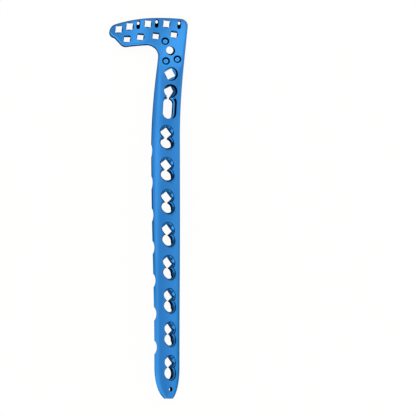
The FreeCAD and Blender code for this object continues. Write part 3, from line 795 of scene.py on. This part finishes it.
def anodised_metal():
    """Satin titanium with a blue oxide film: fine blasted grain, faint colour drift, and the
    mesh's painted shade and painted highlights.
    """
    material = bpy.data.materials.new("anodised_titanium")
    material.use_nodes = True
    nodes, links = material.node_tree.nodes, material.node_tree.links
    shader = nodes["Principled BSDF"]
    shader.inputs["Metallic"].default_value = 1.0
    shader.inputs["Roughness"].default_value = 0.32
    coords = nodes.new("ShaderNodeTexCoord")
    drift = nodes.new("ShaderNodeTexNoise")
    drift.inputs["Scale"].default_value = 60.0
    drift.inputs["Detail"].default_value = 2.0
    links.new(coords.outputs["Object"], drift.inputs["Vector"])
    ramp_node = nodes.new("ShaderNodeValToRGB")
    low, high = ramp_node.color_ramp.elements
    low.position, high.position = 0.3, 0.7
    low.color, high.color = FILM_DARK, FILM_PALE
    links.new(drift.outputs["Fac"], ramp_node.inputs["Fac"])
    # The mesh's painted shade and painted highlights multiply the film's colour
    tone = nodes.new("ShaderNodeAttribute")
    tone.attribute_name = "tone"
    shade = nodes.new("ShaderNodeMix")
    shade.data_type, shade.blend_type = "RGBA", "MULTIPLY"
    shade.inputs["Factor"].default_value = 1.0
    links.new(ramp_node.outputs["Color"], shade.inputs["A"])
    links.new(tone.outputs["Fac"], shade.inputs["B"])
    links.new(shade.outputs["Result"], shader.inputs["Base Color"])
    # The film turns dark where the metal is seen edge on; the mesh's painted shade and
    # highlights scale this edge tint too
    edge_on = nodes.new("ShaderNodeMix")
    edge_on.data_type, edge_on.blend_type = "RGBA", "MULTIPLY"
    edge_on.inputs["Factor"].default_value = 1.0
    edge_on.inputs["A"].default_value = FILM_EDGE
    links.new(tone.outputs["Fac"], edge_on.inputs["B"])
    links.new(edge_on.outputs["Result"], shader.inputs["Specular Tint"])
    grain = nodes.new("ShaderNodeTexNoise")
    grain.inputs["Scale"].default_value = 9000.0
    grain.inputs["Detail"].default_value = 3.0
    links.new(coords.outputs["Object"], grain.inputs["Vector"])
    bump = nodes.new("ShaderNodeBump")
    bump.inputs["Strength"].default_value = 0.12
    bump.inputs["Distance"].default_value = 0.00002
    links.new(grain.outputs["Fac"], bump.inputs["Height"])
    links.new(bump.outputs["Normal"], shader.inputs["Normal"])
    return material


# The photograph looks square on at the tip's end of the path
VIEW_AXES = Matrix(REST.tolist())

# Bright panels of the studio: direction in the view's axes, sharpness and strength
PANELS = (
    ((-1.0, -0.35, -0.2), 4.0, 1.2),
    ((-0.34, -0.1, 0.93), 7.0, 0.62),
    ((-0.2, 0.57, 0.8), 30.0, 1.0),
    ((0.75, 0.6, 0.25), 8.0, 0.45),
    ((1.0, -0.2, -0.6), 4.0, 0.85),
    ((0.0, -1.0, 0.35), 6.0, 1.2),
)
PANEL_COLOUR = (1.35, 1.03, 0.8)
# Light of the studio below and above, and the heights between which it fades
STUDIO_LOW, STUDIO_HIGH = 0.1, 0.82
FADE_LOW, FADE_HIGH = -0.8, 0.1
# Share of the table top that the camera sees as plain white
FLOOR_WHITE = 0.93


def in_view(x, y, z):
    """A point given in millimetres in the view's axes, in metres as the plate lies."""
    return Vector((np.array([x, y, z]) @ REST.T + np.array(REST_MOVE)) * MM)


def area_light(name, direction, power, size, spot, distance):
    """A soft box that faces a spot on the plate from a direction in the view's axes."""
    data = bpy.data.lights.new(name, "AREA")
    data.shape = "RECTANGLE"
    data.size, data.size_y = size
    data.energy = power
    data.color = PANEL_COLOUR
    light = bpy.data.objects.new(name, data)
    bpy.context.scene.collection.objects.link(light)
    way = VIEW_AXES @ Vector(direction).normalized()
    light.location = in_view(*spot) + way * distance
    light.rotation_mode = "QUATERNION"
    light.rotation_quaternion = way.to_track_quat("Z", "Y")


# Camera: the point that it looks at, the width of its picture there, its lens and sensor
TARGET = in_view(14.74, 74.34, -14.0)
PICTURE_WIDTH = 161.2 * MM
LENS = 1600.0
SENSOR = 36.0


def make_camera():
    data = bpy.data.cameras.new("camera")
    data.lens, data.sensor_width = LENS, SENSOR
    distance = PICTURE_WIDTH * LENS / SENSOR
    data.clip_start, data.clip_end = distance * 0.1, distance * 3
    camera = bpy.data.objects.new("camera", data)
    bpy.context.scene.collection.objects.link(camera)
    place_at = Matrix.Translation(TARGET + VIEW_AXES.col[2] * distance)
    camera.matrix_world = place_at @ VIEW_AXES.to_4x4()
    bpy.context.scene.camera = camera


def make_floor():
    """A plain pale table top."""
    mesh = bpy.data.meshes.new("floor_mesh")
    reach = 3.0
    corners = [(-reach, -reach, 0), (reach, -reach, 0), (reach, reach, 0), (-reach, reach, 0)]
    mesh.from_pydata(corners, [], [(0, 1, 2, 3)])
    floor = bpy.data.objects.new("floor", mesh)
    bpy.context.scene.collection.objects.link(floor)
    material = bpy.data.materials.new("pale_table")
    material.use_nodes = True
    shader = material.node_tree.nodes["Principled BSDF"]
    shader.inputs["Base Color"].default_value = (0.9, 0.9, 0.9, 1)
    shader.inputs["Roughness"].default_value = 0.9
    shader.inputs["Specular IOR Level"].default_value = 0.0
    # The camera sees the table top nearly white, with a faint shadow, and the plate
    # mirrors the studio instead of it
    nodes, links = material.node_tree.nodes, material.node_tree.links
    path = nodes.new("ShaderNodeLightPath")
    part = nodes.new("ShaderNodeMath")
    part.operation = "MULTIPLY"
    part.inputs[1].default_value = FLOOR_WHITE
    links.new(path.outputs["Is Camera Ray"], part.inputs[0])
    glow = nodes.new("ShaderNodeEmission")
    glow.inputs["Color"].default_value = (1, 1, 1, 1)
    blend = nodes.new("ShaderNodeMixShader")
    links.new(part.outputs["Value"], blend.inputs["Fac"])
    links.new(shader.outputs["BSDF"], blend.inputs[1])
    links.new(glow.outputs["Emission"], blend.inputs[2])
    open_floor = nodes.new("ShaderNodeBsdfTransparent")
    floor_or_studio = nodes.new("ShaderNodeMixShader")
    links.new(path.outputs["Is Glossy Ray"], floor_or_studio.inputs["Fac"])
    links.new(blend.outputs["Shader"], floor_or_studio.inputs[1])
    links.new(open_floor.outputs["BSDF"], floor_or_studio.inputs[2])
    links.new(floor_or_studio.outputs["Shader"], nodes["Material Output"].inputs["Surface"])
    mesh.materials.append(material)


def make_world():
    """A pale studio, brighter on both sides and dim below."""
    world = bpy.data.worlds.new("studio")
    bpy.context.scene.world = world
    world.use_nodes = True
    nodes, links = world.node_tree.nodes, world.node_tree.links
    coords = nodes.new("ShaderNodeTexCoord")

    def toward(direction):
        dot = nodes.new("ShaderNodeVectorMath")
        dot.operation = "DOT_PRODUCT"
        links.new(coords.outputs["Generated"], dot.inputs[0])
        dot.inputs[1].default_value = VIEW_AXES @ Vector(direction).normalized()
        return dot.outputs["Value"]

    def math_node(operation, first, second):
        node = nodes.new("ShaderNodeMath")
        node.operation = operation
        for slot, value in enumerate((first, second)):
            if isinstance(value, (int, float)):
                node.inputs[slot].default_value = value
            else:
                links.new(value, node.inputs[slot])
        return node.outputs["Value"]

    fade = nodes.new("ShaderNodeMapRange")
    fade.interpolation_type = "SMOOTHSTEP"
    links.new(toward((0, 0, 1)), fade.inputs["Value"])
    for name, value in (
        ("From Min", FADE_LOW), ("From Max", FADE_HIGH),
        ("To Min", STUDIO_LOW), ("To Max", STUDIO_HIGH),
    ):
        fade.inputs[name].default_value = value
    total = 0.0
    for direction, sharpness, strength in PANELS:
        facing = math_node("MAXIMUM", toward(direction), 0.0)
        panel = math_node("MULTIPLY", math_node("POWER", facing, sharpness), strength)
        total = math_node("ADD", total, panel)
    mixed = nodes.new("ShaderNodeCombineColor")
    for channel, share_of_panels in zip(("Red", "Green", "Blue"), PANEL_COLOUR):
        lit = math_node("MULTIPLY", total, share_of_panels)
        links.new(math_node("ADD", fade.outputs["Result"], lit), mixed.inputs[channel])
    background = nodes["Background"]
    links.new(mixed.outputs["Color"], background.inputs["Color"])


plate = build()
plate.data.materials.append(anodised_metal())
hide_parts("plate")
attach(plate, "root")

make_floor()
make_world()
make_camera()
area_light(
    "neck_box", direction=(0.2, 0.57, 0.8), power=0.00066, size=(0.012, 0.02),
    spot=(3.5, 138.0, -26.0), distance=0.02,
)
area_light(
    "arm_box", direction=(0.0, 0.57, 0.82), power=0.00015, size=(0.008, 0.02),
    spot=(-12.5, 142.0, -28.0), distance=0.018,
)
bpy.context.scene.view_settings.view_transform = "Standard"
